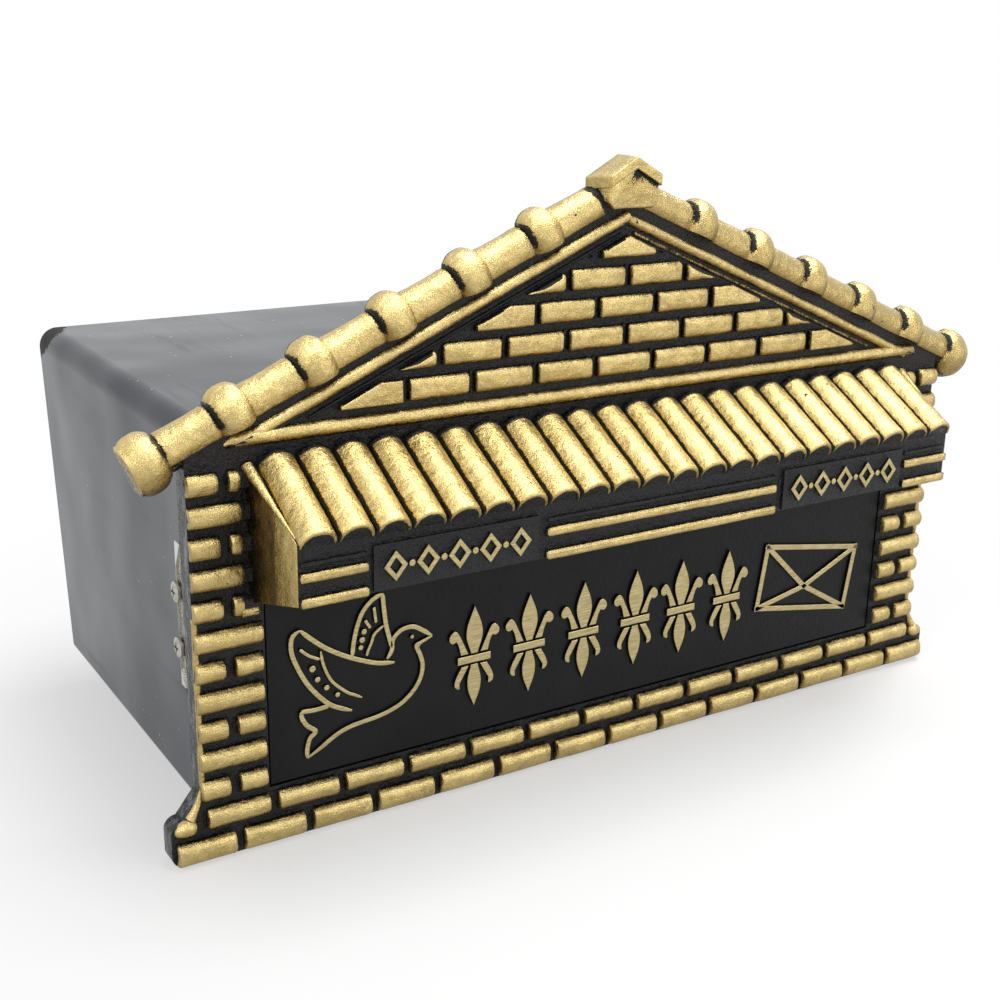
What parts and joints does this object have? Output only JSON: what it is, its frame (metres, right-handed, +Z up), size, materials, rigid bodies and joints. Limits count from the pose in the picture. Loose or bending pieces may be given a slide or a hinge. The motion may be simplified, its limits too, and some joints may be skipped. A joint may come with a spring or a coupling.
{
  "type": "wall mounted post box",
  "caption": "Wall mounted post box: a cast house-shaped front with a hooded inward-swinging letter flap, and a folded sheet box behind it with a hinged, locking rear door.",
  "frame": {"origin": "on the plane of the rim at the back of the cast front, which lies on the wall, below the middle of the base at its lowest edge", "axes": "+X to the right of a person facing the front, +Y from the front through the wall plane to the rear of the box, +Z up"},
  "size_m": [0.3916, 0.2289, 0.241],
  "materials": {
    "front_paint": "cast aluminium painted satin black, with gold rubbed over the raised work",
    "flap_paint": "satin black paint, brushed gold on the raised symbols",
    "box_paint": "glossy black enamel on folded steel sheet",
    "zinc": "zinc plated",
    "rivet": "plain",
    "lock_chrome": "polished"
  },
  "bodies": {
    "house": {"front_casting": "front_paint", "body_shell": "box_paint", "flap_rod": "zinc", "rod_clip_left": "zinc", "rod_clip_right": "zinc", "side_screw_left_lower": "zinc", "side_screw_left_upper": "zinc", "side_screw_right_lower": "zinc", "side_screw_right_upper": "zinc", "side_nut_left_lower": "zinc", "side_nut_left_upper": "zinc", "side_nut_right_lower": "zinc", "side_nut_right_upper": "zinc", "hinge_frame_leaf_left": "zinc", "hinge_frame_leaf_right": "zinc", "hinge_pin_left": "zinc", "hinge_pin_right": "zinc", "frame_rivets": "rivet"},
    "flap": {"letter_flap": "flap_paint"},
    "door": {"rear_door": "box_paint", "hinge_door_leaf_left": "zinc", "hinge_door_leaf_right": "zinc", "door_rivets": "rivet", "lock_barrel": "lock_chrome", "lock_nut": "zinc"},
    "cam": {"lock_plug": "lock_chrome", "lock_cam": "zinc", "cam_screw": "zinc"}
  },
  "joints": [
    {"name": "flap_swing", "type": "hinge", "parent": "house", "child": "flap", "pos_m": [0, -0.0118, 0.115], "axis": [1, 0, 0], "range_deg": [0, 75]},
    {"name": "door_swing", "type": "hinge", "parent": "house", "child": "door", "pos_m": [0, 0.18297, 0.14213], "axis": [1, 0, 0], "range_deg": [0, 100]},
    {"name": "lock_turn", "type": "hinge", "parent": "door", "child": "cam", "pos_m": [0, 0.16922, 0.04458], "axis": [0, 0.9922, -0.1245], "range_deg": [0, 90]}
  ]
}
